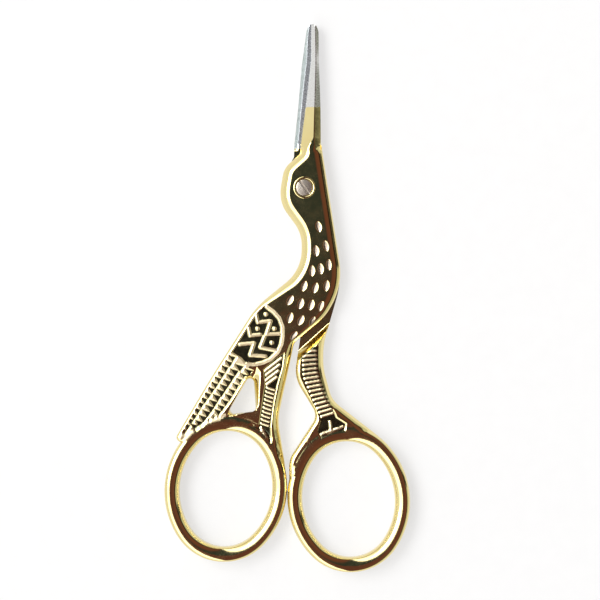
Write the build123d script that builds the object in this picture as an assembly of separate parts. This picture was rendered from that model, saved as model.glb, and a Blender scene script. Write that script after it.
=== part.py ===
from build123d import *
from math import atan2, degrees, radians, tan
import os

# Stork embroidery scissors, lying flat and closed.
# +Z is the thickness, +Y runs along the blades to their tips, and +X is the side of the back half's ring.
# The origin is on the pivot axis, in the plane that the scissors lie on. All lengths are in millimetres.

# Driving dimensions
blade_length = 34.4          # pivot to the blade tips
blade_width = 4.5            # width of one blade at its root
handle_length = 80.6         # pivot to the lowest point of the finger rings
handle_width = 51.8          # across both finger rings
half_thickness = 2.2         # each half at the pivot
mating_gap = 0.04            # between the two flat inner faces
wing_thickness = 3.2         # wing, tail and left leg, down from the outer face

# Roundings
edge_round = 1.5             # outer edges of head, neck, body and legs
window_round = 0.7           # window between tail and leg
underside_round = 0.6        # lower edges of wing, tail and left leg

# Finger rings
hole_width = 19.4
hole_height = 24.3
band_width = 3.15
oval_end_share = 0.88        # end radius of the oval, of half its width
crest_step = 0.5             # from the crest of the band to the handle's flat face
ring_gap = 0.05              # between the closed rings
ring_tilt = 5.7              # degrees, both rings lean to the middle at the top
rings_middle_share = -0.069  # where the closed rings meet
left_ring_drop_share = 0.783
right_ring_drop_share = 0.810

# Blades
spine_break = 0.45           # width of the bevel along the spine on the inner side
spine_break_depth = 0.15
tip_round = 1.26             # both tips together make one round tip
tip_half_width = 1.3
blade_middle = 1.7           # middle of the closed tips, right of the pivot

# Pivot screw
screw_head_diameter = 3.5
screw_head_thickness = 1.0
head_dome = 0.14             # crown of the head
dome_slope = 60.0            # degrees from the pivot axis
head_clearance = 0.12        # round the head, in its counterbore
shoulder_diameter = 2.6
thread_diameter = 2.0
running_clearance = 0.03     # round the shoulder and under the head
end_recess = 0.15            # screw end inside the resting face
slot_width = 0.45
slot_depth = 0.4
slot_angle = -52.0           # degrees from +X
rim_width = 0.42             # raised rim round the counterbore
rim_height = 0.1

# Relief
pixel = 0.21                 # length of the photograph's pixels, in which the relief's places are given
relief_depth = 0.24          # sunk grounds of wing and tail
leg_relief_depth = 0.16
stroke_width = 0.76          # raised lines on the wing
wing_rim_width = 0.84
dot_diameter = 0.92
tail_mark_length = 1.22
tail_mark_width = 0.98
tail_mark_lean = -37.0       # degrees from +X, along which the marks widen
feather_length = 2.4
feather_width = 1.3
feather_depth = 0.26         # at the steep left end of its floor
leg_bar_width = 0.46
leg_stroke_width = 0.5

# Construction
overrun = 3.0                # cuts run past the faces by this much
sink = 0.4                   # pieces of one forging run into each other by this much
level_tolerance = 0.004      # for finding the edges that lie in one face

# Levels
back_inner_face = half_thickness
front_inner_face = half_thickness + mating_gap
outer_face = front_inner_face + half_thickness
middle_level = outer_face / 2

# Outlines are rows of corner points: share of handle_width to the right of the pivot, share of
# handle_length below it, and the share of the shorter run beside the corner that its round takes up.
front_outline_shares = [
    (0.069, -0.112, 0.00),
    (-0.014, -0.112, 0.00),
    (-0.015, -0.090, 0.20),
    (-0.082, -0.052, 0.35),
    (-0.097, 0.003, 0.30),
    (-0.095, 0.044, 0.62),
    (-0.011, 0.118, 0.34),
    (-0.011, 0.213, 0.55),
    (-0.193, 0.308, 0.25),
    (-0.375, 0.491, 0.30),
    (-0.526, 0.655, 0.08),
    (-0.072, 0.748, 0.00),
    (-0.107, 0.602, 0.19),
    (-0.041, 0.402, 0.10),
    (0.086, 0.334, 0.22),
    (0.157, 0.253, 0.67),
]
back_outline_shares = [
    (0.064, -0.080, 0.00),
    (-0.042, -0.080, 0.00),
    (-0.087, -0.030, 0.28),
    (-0.087, 0.040, 0.38),
    (-0.006, 0.116, 0.29),
    (0.008, 0.290, 0.18),
    (-0.041, 0.492, 0.28),
    (0.053, 0.592, 0.19),
    (-0.061, 0.705, 0.35),
    (-0.061, 0.756, 0.00),
    (0.412, 0.760, 0.00),
    (0.359, 0.675, 0.59),
    (0.112, 0.552, 0.28),
    (0.077, 0.470, 0.37),
    (0.077, 0.408, 0.45),
    (0.152, 0.240, 0.29),
]
window_shares = [
    (-0.207, 0.474, 0.30),
    (-0.196, 0.580, 0.12),
    (-0.314, 0.590, 0.27),
]
# Lines where the halves step from their own thickness to full thickness, clear of each other
front_step_shares = [(-0.111, 0.265), (-0.047, 0.420)]
back_step_shares = [(-0.023, 0.424), (0.105, 0.350)]
step_slope = 35.0            # degrees, lean of the step's wall

# Blade stations from root to tip: share of blade_length above the pivot; cutting edge, near ridge,
# far ridge and spine as shares of blade_width to the right of the pivot; then the ridge, the
# cutting edge's land and the spine's wall as shares of half_thickness above the inner face.
front_blade_shares = [
    (0.205, -0.17, 0.06, 0.55, 0.79, 1.00, 0.36, 0.36),
    (0.270, -0.15, 0.28, 0.47, 0.77, 1.00, 0.36, 0.36),
    (0.300, -0.12, 0.42, 0.47, 0.768, 0.98, 0.33, 0.38),
    (0.492, 0.07, 0.46, 0.50, 0.755, 0.88, 0.13, 0.50),
    (0.781, 0.32, 0.52, 0.56, 0.68, 0.62, 0.09, 0.36),
    (1.000, 0.33, 0.49, 0.52, 0.66, 0.36, 0.08, 0.22),
]
back_blade_shares = [
    (0.120, 0.74, 0.45, 0.00, -0.50, 1.00, 0.36, 0.36),
    (0.270, 0.70, 0.30, 0.05, -0.46, 1.00, 0.36, 0.36),
    (0.492, 0.58, -0.05, -0.09, -0.285, 0.88, 0.13, 0.50),
    (0.781, 0.51, 0.08, 0.04, -0.10, 0.62, 0.09, 0.36),
    (1.000, 0.50, 0.25, 0.22, 0.08, 0.36, 0.08, 0.22),
]

# Relief, in pixels of the photograph to the right and down
pivot_pixels = (304.3, 188.0)
wing_rim_pixels = [
    (267.3, 306.7), (274, 311.8), (279.6, 318), (282.7, 326.6), (282.9, 335.8), (281.6, 344),
    (278.1, 351.6), (270.9, 358.8), (263.3, 362.3), (255.6, 364.1), (246.9, 363.6),
]
wing_inner_side_pixels = [(242, 357), (236.5, 351), (262.5, 309.5)]
wing_stroke_pixels = [
    [(256.6, 314.4), (258.2, 322), (271, 320.8), (266.8, 334), (280, 333.5)],
    [(249, 327.7), (250.5, 335.3), (260.7, 334.3)],
    [(264.8, 337.5), (260.7, 347), (276, 350.1)],
    [(241.3, 344), (254.1, 343), (250.5, 354.7), (265.8, 355.7)],
]
wing_dot_pixels = [(266.3, 314.1), (257.5, 328.4), (274.7, 328.4), (272.2, 342.4)]
tail_mark_pixels = [
    (232.7, 357.5), (229.8, 362.7), (225.8, 367.7), (222.2, 373.6), (218.9, 378.8), (215.6, 384.1),
    (212, 389), (208.4, 394.3), (204.8, 399.2), (201.2, 403.8), (197.9, 409.7), (194.3, 415.3),
    (191, 419.9), (187.7, 425.2), (184.8, 430.4),
    (239.9, 366.7), (235, 371.3), (231.4, 376.5), (228.1, 381.8), (224.8, 386.7), (221.5, 391.6),
    (217.6, 396.6), (214.3, 402.2), (211, 407.4), (207.4, 412.3), (203.8, 417.3), (199.9, 422.2),
    (195.3, 425.8),
    (249, 371), (245, 375.5), (240.7, 380.3), (237.1, 385.6), (233.2, 390.9), (229.6, 396.1),
    (225.8, 401.5), (222, 406.7), (218.5, 411),
]
feather_pixels = [
    (318.6, 227, -10), (326, 246.1, -12), (316.1, 251.1, -5), (328.9, 264.8, -2), (320.6, 268.9, -5),
    (311.9, 271, 2), (326.4, 285.9, 8), (315.2, 288, 16), (304, 286.3, 18), (321, 306.2, 17),
    (311.1, 305, 17), (300.7, 303.7, 17), (290, 300.4, 30), (312.3, 321.5, 26), (300.7, 320.3, 26),
    (290, 317.8, 18), (293.7, 336, 30),
]
left_leg_ground_pixels = [
    (284, 353), (275, 359), (264, 369), (265.5, 384), (263.5, 400), (259.5, 427), (266, 427.5),
    (270.5, 427), (274, 400), (277.3, 384), (282.5, 367),
]
left_leg_stroke_pixels = [
    [(281.6, 357.8), (265.3, 370.5)], [(279.8, 364.5), (266.6, 374.5)],
    [(278.6, 370.5), (266.6, 379.5)], [(276.8, 376.8), (267.6, 383.2)],
]
left_leg_bar_pixels = [(267.3, 387, 275, 389.4), (261.5, 422.5, 268.8, 424.9)]
left_leg_bars = 10
right_leg_ground_pixels = [
    (301.5, 348), (317.5, 347), (318.5, 374), (326.5, 394), (335, 417), (321, 420), (311, 397),
    (301.8, 376),
]
right_leg_bar_pixels = [(302.8, 351, 316, 350.4), (304, 376, 317, 373.6), (321.5, 416, 333, 412.5)]
right_leg_bars = [6, 10]


def place(row):
    """Place of an outline point in the plane of the scissors."""
    return (row[0] * handle_width, -row[1] * handle_length)


def corner_radius(before, corner, after, round_share):
    """Radius of the arc that takes up that share of the shorter run beside a corner."""
    run_in = corner - before
    run_out = after - corner
    half_turn = radians(run_in.get_angle(run_out)) / 2
    return round_share * min(run_in.length, run_out.length) / tan(half_turn)


def outline_face(rows):
    """Closed face with straight runs and tangent arcs at its corners."""
    corners = [Vector(*place(row)) for row in rows]
    radii = []
    for number, row in enumerate(rows):
        before = corners[number - 1]
        after = corners[(number + 1) % len(rows)]
        radii.append(corner_radius(before, corners[number], after, row[2]))
    with BuildLine() as line:
        FilletPolyline(*corners, radius=radii, close=True)
    return Face(line.wire())


def slab(rows, bottom, level):
    """Plate of an outline between two levels."""
    return Pos(0, 0, bottom) * extrude(outline_face(rows), amount=level - bottom, dir=(0, 0, 1))


def round_outer_edges(plate, level, root_height, radius):
    """Round a plate's edges at one level, but not the end where the blade is joined."""
    edges = plate.edges().filter_by_position(Axis.Z, level - level_tolerance, level + level_tolerance)
    rounded = [edge for edge in edges if edge.center().Y < root_height - sink]
    return fillet(rounded, radius)


def step_cut(line_shares, level, upward):
    """Solid past a step line: it clears the side to the left of the line, as seen from above."""
    start, end = [Vector(*place(row), level) for row in line_shares]
    along = (end - start).normalized()
    lean = along.cross(Vector(0, 0, upward)) * upward
    wall = Plane(origin=start, x_dir=along, z_dir=-lean.rotate(Axis((0, 0, 0), along), step_slope))
    size = 2 * handle_length
    return wall * Pos(0, 0, size / 2) * Box(size, size, size)


def ring_location(side):
    """Place and lean of a finger ring: side is -1 for the front half's, 1 for the back half's."""
    drop_share = left_ring_drop_share if side < 0 else right_ring_drop_share
    outer_half_width = hole_width / 2 + band_width
    across = rings_middle_share * handle_width + side * (outer_half_width + ring_gap / 2)
    return Pos(across, -drop_share * handle_length, middle_level) * Rot(0, 0, side * ring_tilt)


def oval_face(half_wide, half_high):
    """Oval of four tangent arcs, with its long axis along Y."""
    end_radius = half_wide * oval_end_share
    rise = half_high - end_radius
    side_radius = (half_wide ** 2 + rise ** 2 - end_radius ** 2) / (2 * (half_wide - end_radius))
    reach = end_radius / (side_radius - end_radius)
    joint_across = (side_radius - half_wide) * reach
    joint_along = rise + rise * reach
    with BuildLine() as line:
        ThreePointArc((joint_across, joint_along), (0, half_high), (-joint_across, joint_along))
        ThreePointArc((-joint_across, joint_along), (-half_wide, 0), (-joint_across, -joint_along))
        ThreePointArc((-joint_across, -joint_along), (0, -half_high), (joint_across, -joint_along))
        ThreePointArc((joint_across, -joint_along), (half_wide, 0), (joint_across, joint_along))
    return Face(line.wire())


def finger_ring(side):
    """Oval finger ring: a round-ended section carried round the oval's four arcs."""
    oval = oval_face(hole_width / 2 + band_width / 2, hole_height / 2 + band_width / 2)
    ring = None
    for arc in oval.edges():
        section = Plane(origin=arc @ 0, z_dir=arc % 0, x_dir=(0, 0, 1)) * SlotOverall(outer_face, band_width)
        piece = sweep(section, path=arc)
        ring = piece if ring is None else ring + piece
    return ring_location(side) * ring


def ring_clearing(side):
    """Solid that clears a handle away from the crest of the ring's band inwards."""
    half_wide = hole_width / 2 + band_width / 2 + crest_step
    half_high = hole_height / 2 + band_width / 2 + crest_step
    return ring_location(side) * extrude(oval_face(half_wide, half_high), amount=outer_face, both=True)


def spot(across_pixels, down_pixels):
    """Place of a pixel of the photograph in the plane of the scissors."""
    return Vector((across_pixels - pivot_pixels[0]) * pixel, (pivot_pixels[1] - down_pixels) * pixel)


def ground_face(rows):
    """Closed face through the given pixels."""
    return Face(Wire.make_polygon([spot(*row) for row in rows], close=True))


def stroke_faces(rows, width):
    """Straight strokes with round ends along the given pixels."""
    points = [spot(*row) for row in rows]
    faces = []
    for start, end in zip(points[:-1], points[1:]):
        run = end - start
        lean = Axis((0, 0, 0), (1, 0, 0)).direction.get_signed_angle(run)
        faces.append(Pos(*(start + end) / 2) * Rot(0, 0, lean) * SlotCenterToCenter(run.length, width))
    return faces


def sunk(face, depth):
    """Solid that sinks a face of the relief into the outer face."""
    return Pos(0, 0, outer_face - depth) * extrude(face, amount=depth + overrun, dir=(0, 0, 1))


def bars_between(first, last, count):
    """Places of bars, evenly spaced from the first one to the last one."""
    rows = []
    for number in range(count):
        share = number / (count - 1)
        left, top, right, low = [a + (b - a) * share for a, b in zip(first, last)]
        rows.append([(left, top), (right, low)])
    return rows


def wing_ground():
    """Sunk ground of the wing, with its rim, strokes and dots left standing."""
    ground = ground_face(wing_rim_pixels + wing_inner_side_pixels)
    raised = stroke_faces(wing_rim_pixels, wing_rim_width)
    for rows in wing_stroke_pixels:
        raised += stroke_faces(rows, stroke_width)
    for row in wing_dot_pixels:
        raised.append(Pos(*spot(*row)) * Circle(dot_diameter / 2))
    return sunk(ground - raised, relief_depth)


def tail_marks():
    """Wedge marks between the barbs of the tail feathers."""
    wedge = Polygon(
        (-tail_mark_length / 2, 0),
        (tail_mark_length / 2, -tail_mark_width / 2),
        (tail_mark_length / 2, tail_mark_width / 2),
        align=None)
    return [sunk(Pos(*spot(*row)) * Rot(0, 0, tail_mark_lean) * wedge, relief_depth) for row in tail_mark_pixels]


def feather_marks():
    """Gouged feather marks: each floor rises from a steep left wall to the outer face."""
    floor_lean = degrees(atan2(feather_depth, feather_width))
    gouge = extrude(Ellipse(feather_width / 2, feather_length / 2), amount=overrun)
    marks = []
    for across, down, lean in feather_pixels:
        seat = Pos(*spot(across, down)) * Pos(0, 0, outer_face - feather_depth / 2)
        marks.append(seat * Rot(0, 0, -lean) * Rot(0, -floor_lean, 0) * gouge)
    return marks


def leg_ground(ground_rows, strokes, bars):
    """Sunk ground of a leg between its raised strokes and bars."""
    raised = []
    for rows in strokes:
        raised += stroke_faces(rows, leg_stroke_width)
    for rows in bars:
        raised += stroke_faces(rows, leg_bar_width)
    return sunk(ground_face(ground_rows) - raised, leg_relief_depth)


def front_relief():
    """Everything that is sunk into the front half's outer face."""
    bars = bars_between(*left_leg_bar_pixels, left_leg_bars)
    leg = leg_ground(left_leg_ground_pixels, left_leg_stroke_pixels, bars)
    return [wing_ground(), leg] + tail_marks() + feather_marks()


def back_relief():
    """Ladder of bars that is sunk into the back half's leg."""
    upper, knee, lower = right_leg_bar_pixels
    bars = bars_between(upper, knee, right_leg_bars[0]) + bars_between(knee, lower, right_leg_bars[1])[1:]
    return leg_ground(right_leg_ground_pixels, [], bars)


def blade_section(row, inner_face, outward):
    """One section of a blade: outward is 1 where it rises from the inner face, -1 where it falls."""
    along, edge, near_ridge, far_ridge, spine, ridge_rise, land_rise, wall_rise = row
    break_across = spine_break if spine < edge else -spine_break
    corners = [
        (edge * blade_width, 0),
        (edge * blade_width, land_rise * half_thickness),
        (near_ridge * blade_width, ridge_rise * half_thickness),
        (far_ridge * blade_width, ridge_rise * half_thickness),
        (spine * blade_width, wall_rise * half_thickness),
        (spine * blade_width, spine_break_depth),
        (spine * blade_width + break_across, 0),
    ]
    points = [(across, along * blade_length, inner_face + outward * rise) for across, rise in corners]
    return Face(Wire.make_polygon(points, close=True))


def tip_outline():
    """Plan of the two blades together, with their common round tip."""
    left = blade_middle - tip_half_width
    right = blade_middle + tip_half_width
    corners = [
        (left, blade_length),
        (right, blade_length),
        (right + blade_width, 0),
        (left - blade_width, 0),
    ]
    with BuildLine() as line:
        FilletPolyline(*corners, radius=[tip_round, tip_round, 0, 0], close=True)
    return Pos(0, 0, -overrun) * extrude(Face(line.wire()), amount=outer_face + 2 * overrun, dir=(0, 0, 1))


def blade(rows, inner_face, outward):
    """Ground blade with a ridge between its edge bevel and its spine bevel."""
    body = loft([blade_section(row, inner_face, outward) for row in rows], ruled=True)
    return body & tip_outline()


def rod(diameter, bottom, level):
    """Round solid on the pivot axis."""
    return Pos(0, 0, bottom) * extrude(Circle(diameter / 2), amount=level - bottom)


def window():
    """Opening between the tail and the left leg."""
    return slab(window_shares, -overrun, outer_face + overrun)


def front_half():
    """Upper half: blade, head, neck, body, wing, tail, left leg and left finger ring."""
    root_height = -front_outline_shares[0][1] * handle_length
    plate = slab(front_outline_shares, front_inner_face, outer_face)
    plate = round_outer_edges(plate, outer_face, root_height, edge_round) - window()
    top_face = plate.faces().sort_by(Axis.Z)[-1]
    plate = fillet(top_face.inner_wires()[0].edges(), window_round) - front_relief()
    deep_face = outer_face - wing_thickness
    deep = slab(front_outline_shares, deep_face, front_inner_face + sink)
    deep = round_outer_edges(deep, deep_face, root_height, underside_round)
    deep = deep - step_cut(front_step_shares, front_inner_face, -1)
    body = plate + (deep - window())
    body = body - ring_clearing(-1)
    body = body + finger_ring(-1)
    body = body + blade(front_blade_shares, front_inner_face, 1)
    rim = rod(screw_head_diameter + 2 * head_clearance + 2 * rim_width, outer_face - sink, outer_face + rim_height)
    body = body + rim
    head_seat = outer_face - screw_head_thickness - running_clearance
    body = body - rod(screw_head_diameter + 2 * head_clearance, head_seat, outer_face + overrun)
    return body - rod(shoulder_diameter + 2 * running_clearance, -overrun, outer_face)


def back_half():
    """Lower half: blade, head, shank, right leg and right finger ring."""
    root_height = -back_outline_shares[0][1] * handle_length
    plate = slab(back_outline_shares, 0, back_inner_face)
    plate = round_outer_edges(plate, 0, root_height, edge_round)
    raised = slab(back_outline_shares, back_inner_face - sink, outer_face)
    raised = round_outer_edges(raised, outer_face, root_height, edge_round) - back_relief()
    raised = raised - step_cut(back_step_shares, back_inner_face, 1)
    body = plate + raised
    body = body - ring_clearing(1)
    body = body + finger_ring(1)
    body = body + blade(back_blade_shares, back_inner_face, -1)
    return body - rod(thread_diameter, -overrun, outer_face)


def pivot_screw():
    """Slotted shoulder screw: its head turns in the front half, its thread holds in the back half."""
    head_bottom = outer_face - screw_head_thickness
    head = rod(screw_head_diameter, head_bottom, outer_face - head_dome)
    dome_top = Pos(0, 0, outer_face - head_dome) * extrude(
        Circle(screw_head_diameter / 2), amount=head_dome, taper=dome_slope)
    shoulder = rod(shoulder_diameter, back_inner_face, head_bottom)
    thread = rod(thread_diameter, end_recess, back_inner_face)
    slot = Pos(0, 0, outer_face) * Rot(0, 0, slot_angle) * Box(
        screw_head_diameter + overrun, slot_width, 2 * slot_depth)
    return head + dome_top + shoulder + thread - slot


os.makedirs("parts", exist_ok=True)
nodes = {
    "back_half": back_half(),
    "front_half": front_half(),
    "pivot_screw": pivot_screw(),
}
for name, solid in nodes.items():
    solid.label = name
    export_step(solid, f"parts/{name}.step")
    box = solid.bounding_box()
    print(name, "solids", len(solid.solids()), "volume", round(solid.volume, 1),
          "from", box.min, "to", box.max)
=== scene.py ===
import bpy
import math
from types import SimpleNamespace
import numpy as np
from mathutils.geometry import delaunay_2d_cdt
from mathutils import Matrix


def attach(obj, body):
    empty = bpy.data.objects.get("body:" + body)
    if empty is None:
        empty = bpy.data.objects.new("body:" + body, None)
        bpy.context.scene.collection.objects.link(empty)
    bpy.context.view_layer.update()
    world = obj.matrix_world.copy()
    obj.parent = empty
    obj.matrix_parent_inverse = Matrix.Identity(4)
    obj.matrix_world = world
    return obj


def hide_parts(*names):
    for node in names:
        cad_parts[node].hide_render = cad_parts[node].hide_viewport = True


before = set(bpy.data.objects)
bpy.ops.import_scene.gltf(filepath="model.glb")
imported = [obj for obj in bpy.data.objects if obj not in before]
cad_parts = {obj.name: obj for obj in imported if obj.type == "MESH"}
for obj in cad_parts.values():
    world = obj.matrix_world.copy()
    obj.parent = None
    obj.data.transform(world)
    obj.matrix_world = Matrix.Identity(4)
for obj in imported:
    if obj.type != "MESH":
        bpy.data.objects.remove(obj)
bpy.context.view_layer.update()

# Sizes of the part in millimetres
blade_length = 34.4
blade_width = 4.5
handle_length = 80.6
handle_width = 51.8
half_thickness = 2.2
mating_gap = 0.04
wing_thickness = 3.2
underside_round = 0.6
back_round = 1.5
hole_width = 19.4
hole_height = 24.3
band_width = 3.15
oval_end_share = 0.88
ring_gap = 0.05
ring_tilt = 5.7
rings_middle_share = -0.069
left_ring_drop_share = 0.783
right_ring_drop_share = 0.810
spine_break = 0.45
spine_break_depth = 0.15
spine_bevel_slope = math.tan(math.radians(27.5))
spine_bevel_heights = [8.0, 16.0, 21.0, 27.0, 31.0]
spine_bevel_widths = [0.80, 0.72, 0.78, 1.0, 0.7]
spine_bevel_depth_limit = 0.55
tip_half_width = 1.22
tip_top_half_width = 0.62
tip_length = 1.25
tip_top_cut = 0.5
tip_side_cut = 0.7
blade_middle = 1.7
screw_head_radius = 1.75
screw_head_thickness = 1.0
head_dome = 0.14
head_clearance = 0.12
shoulder_radius = 1.3
thread_radius = 1.0
thread_turns = 5
thread_pitch = 0.32
thread_start = 0.25
thread_depth = 0.12
running_clearance = 0.03
end_recess = 0.15
slot_width = 0.45
slot_depth = 0.4
slot_angle = -52.0
rim_width = 0.42
rim_height = 0.1
step_slope = 35.0
ring_crest = 0.28               # outside the middle line of the band
ring_outer_crown = 2.6
ring_inner_crown = 2.1
ring_groove_place = 1.55        # seam between a handle and its ring, outside the band's middle line
ring_groove_width = 0.25
ring_groove_depth = 0.06
narrow_round = 0.9              # outer edges of wing, tail and legs
neck_round_gain = 1.05          # how much wider they are at head and neck
right_leg_gain = 0.65           # and at the right edges of the left leg
window_bevel_depth = 1.5
left_crown = 2.3                # squareness of rounded edges: 1 is a chamfer, 2 a quarter circle
left_crown_neck_loss = 0.6
right_crown = 1.5
right_crown_neck_gain = 0.5
right_neck_flattening = 0.42
right_leg_left_round = 1.0
right_leg_right_round = 1.6

# Heights between which one form runs into another, up from the pivot
neck_heights = (-31, -19)
neck_lean = 0.25
leg_heights = (-31, -35)
ring_groove_top = -40
front_blade_joint = (7.2, 9.0)
back_blade_joint = (4.4, 6.4)
back_bevel_joint = (7.5, 8.5)

# Relief in millimetres
ground_depth = 0.24             # wing and tail
ground_bank = 0.30
left_leg_depth = 0.18
left_leg_bank = 0.22
right_leg_depth = 0.16
right_leg_bank = 0.20
raised_height = 0.08            # rim of the wing and border of the tail
feather_depth = 0.24
feather_wall_share = 0.38
feather_floor_gain = 1.15
dark_blur = 0.06                # how softly the dark grounds end
wing_edge_gap = 0.95            # from a sunk ground to the half's outline or its window
tail_edge_gap = 0.75
tail_window_gap = 0.8
tail_region_window_gap = 0.5
leg_edge_gap = 0.55
leg_window_gap = 0.75
# Painted shade on the back blade's spine bevel, as a share of the near-black colour
bevel_shade_strength = 0.80

back_inner_face = half_thickness
front_inner_face = half_thickness + mating_gap
outer_face = front_inner_face + half_thickness
middle_level = outer_face / 2
deep_face = outer_face - wing_thickness
bore_radius = screw_head_radius + head_clearance
hinge_radius = shoulder_radius + running_clearance
to_metres = 0.001

front_outline_shares = [
    (0.069, -0.112, 0.00), (-0.014, -0.112, 0.00), (-0.015, -0.090, 0.20), (-0.082, -0.052, 0.35),
    (-0.097, 0.003, 0.30), (-0.095, 0.044, 0.62), (-0.011, 0.118, 0.34), (-0.011, 0.213, 0.55),
    (-0.193, 0.308, 0.25), (-0.375, 0.491, 0.30), (-0.526, 0.655, 0.08), (-0.072, 0.748, 0.00),
    (-0.107, 0.602, 0.19), (-0.041, 0.402, 0.10), (0.086, 0.334, 0.22), (0.157, 0.253, 0.67),
]
back_outline_shares = [
    (0.064, -0.080, 0.00), (-0.042, -0.080, 0.00), (-0.087, -0.030, 0.28), (-0.087, 0.040, 0.38),
    (-0.006, 0.116, 0.29), (0.008, 0.290, 0.18), (-0.041, 0.492, 0.28), (0.053, 0.592, 0.19),
    (-0.061, 0.705, 0.35), (-0.061, 0.756, 0.00), (0.412, 0.760, 0.00), (0.359, 0.675, 0.59),
    (0.112, 0.552, 0.28), (0.077, 0.470, 0.37), (0.077, 0.408, 0.45), (0.152, 0.240, 0.29),
]
window_shares = [(-0.207, 0.474, 0.30), (-0.196, 0.580, 0.12), (-0.314, 0.590, 0.27)]
front_step_shares = [(-0.111, 0.265), (-0.047, 0.420)]
back_step_shares = [(-0.023, 0.424), (0.105, 0.350)]
front_blade_shares = [
    (0.205, -0.17, 0.06, 0.55, 0.79, 1.00, 0.36, 0.36),
    (0.270, -0.15, 0.28, 0.47, 0.77, 1.00, 0.36, 0.47),
    (0.300, -0.12, 0.42, 0.47, 0.768, 0.98, 0.33, 0.47),
    (0.492, 0.07, 0.46, 0.50, 0.755, 0.88, 0.13, 0.50),
    (0.781, 0.32, 0.52, 0.56, 0.68, 0.62, 0.09, 0.36),
    (1.000, 0.33, 0.49, 0.52, 0.66, 0.36, 0.08, 0.22),
]
back_blade_shares = [
    (0.120, 0.74, 0.45, 0.00, -0.50, 1.00, 0.36, 0.36),
    (0.270, 0.70, 0.30, 0.05, -0.46, 1.00, 0.36, 0.36),
    (0.492, 0.58, -0.05, -0.09, -0.285, 0.88, 0.13, 0.50),
    (0.781, 0.51, 0.08, 0.04, -0.10, 0.62, 0.09, 0.36),
    (1.000, 0.50, 0.25, 0.22, 0.08, 0.36, 0.08, 0.22),
]

# Places and widths of the relief in the picture's pixels
pixel = 0.21
pivot_pixel = (304.3, 188.0)
wing_rim_pixels = [
    (267.3, 306.7), (274, 311.8), (279.6, 318), (282.7, 326.6), (282.9, 335.8), (281.6, 344),
    (278.1, 351.6), (270.9, 358.8), (263.3, 362.3), (255.6, 364.1), (246.9, 363.6),
]
wing_outside_pixels = [(242, 357), (230, 350), (236, 330), (254, 300)]
wing_stroke_pixels = [
    [(256.6, 314.4), (258.2, 322), (271, 320.8), (266.8, 334), (280, 333.5)],
    [(249, 327.7), (250.5, 335.3), (260.7, 334.3)],
    [(264.8, 336.5), (260.7, 347), (276, 350.1)],
    [(240.3, 344), (254.6, 342.7), (250.5, 354.7), (265.8, 355.7)],
]
wing_dot_pixels = [(266.3, 314.1), (258.0, 328.4), (274.7, 328.4), (272.2, 342.4)]
tail_row_pixels = [
    [(232.7, 357.5), (229.8, 362.7), (225.8, 367.7), (222.2, 373.6), (218.9, 378.8), (215.6, 384.1),
     (212, 389), (208.4, 394.3), (204.8, 399.2), (201.2, 403.8), (197.9, 409.7), (194.3, 415.3),
     (191, 419.9), (187.7, 425.2), (184.8, 430.4)],
    [(239.9, 366.7), (235, 371.3), (231.4, 376.5), (228.1, 381.8), (224.8, 386.7), (221.5, 391.6),
     (217.6, 396.6), (214.3, 402.2), (211, 407.4), (207.4, 412.3), (203.8, 417.3), (199.9, 422.2),
     (195.3, 425.8)],
    [(249, 371), (245, 375.5), (240.7, 380.3), (237.1, 385.6), (233.2, 390.9), (229.6, 396.1),
     (225.8, 401.5), (222, 406.7), (218.5, 411)],
]
tail_row_sizes = [3.4, 4.0, 3.5]
tail_down = (-0.55, -0.835)
tail_barb = (0.80, -0.60)
mark_point_share = 1.25
mark_base_share = 0.85
tail_dot_pixels = [(214.8, 415.8), (209.5, 418.8)]
tail_border_pixels = [(225.2, 414.6), (214, 420.6), (200.9, 429.8), (191, 435.7), (180.5, 440.5)]
tail_field_pixels = [
    (229, 350), (242, 357), (250, 366), (240, 385), (226, 409), (222, 416), (206, 428), (180, 443),
    (172, 440),
]
feather_pixels = [
    (318.6, 227, -10), (326, 246.1, -12), (316.1, 251.1, -5), (328.9, 264.8, -2), (320.6, 268.9, -5),
    (311.9, 271, 2), (326.4, 285.9, 8), (315.2, 288, 16), (304, 286.3, 18), (321, 306.2, 17),
    (311.1, 305, 17), (300.7, 303.7, 17), (290, 300.4, 30), (312.3, 321.5, 26), (300.7, 320.3, 26),
    (290, 317.8, 18), (293.7, 336, 30),
]
left_leg_pixels = [
    (284, 353), (275, 359), (264, 369), (265.5, 384), (263, 400), (259, 427), (250, 424), (249, 429),
    (262, 441), (271, 443), (270.5, 427), (274, 400), (277.3, 384), (282.5, 367),
]
left_leg_stroke_pixels = [
    [(281.6, 357.8), (265.3, 370.5)], [(279.8, 364.5), (266.6, 374.5)], [(278.6, 370.5), (266, 380)],
    [(276.8, 376.8), (267.3, 383.8)], [(261.5, 427), (267.5, 439)], [(252.5, 427), (262, 432)],
]
left_leg_bar_pixels = [
    [(267.3, 387), (265, 402), (261.5, 422.5)],
    [(275, 389.4), (272.3, 404), (268.8, 424.9)],
]
left_leg_bars = 10
right_leg_pixels = [
    (301, 347), (318, 346), (318.8, 374), (327, 394), (336, 417), (345.5, 423), (344.5, 430), (320, 437),
    (318, 430), (321, 420), (311, 397), (301.5, 376),
]
right_leg_bar_pixels = [
    [(302.8, 351), (304, 376), (312, 396), (321.5, 416)],
    [(316, 350.4), (317, 373.6), (325.3, 393.6), (333, 412.5)],
]
right_leg_bars = 16
right_leg_stroke_pixels = [
    [(320.8, 433.3), (331, 430), (342.8, 426)], [(330, 421), (331, 430)],
]
window_bevel_pixels = [
    (256.8, 365.5), (261, 371.5), (258.6, 404), (256.3, 409.3), (226, 416.8), (232, 405), (249.5, 371),
]
wing_rim_half_pixels = 2.1
wing_stroke_half_pixels = 1.9
wing_dot_pixels_radius = 2.2
tail_dot_pixels_radius = 1.0
raised_half_pixels = 2.0
leg_stroke_half_pixels = 1.4
left_bar_half_pixels = 1.15
right_bar_half_pixels = 1.25
feather_half_wide_pixels = 3.1
feather_half_long_pixels = 5.4


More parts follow.
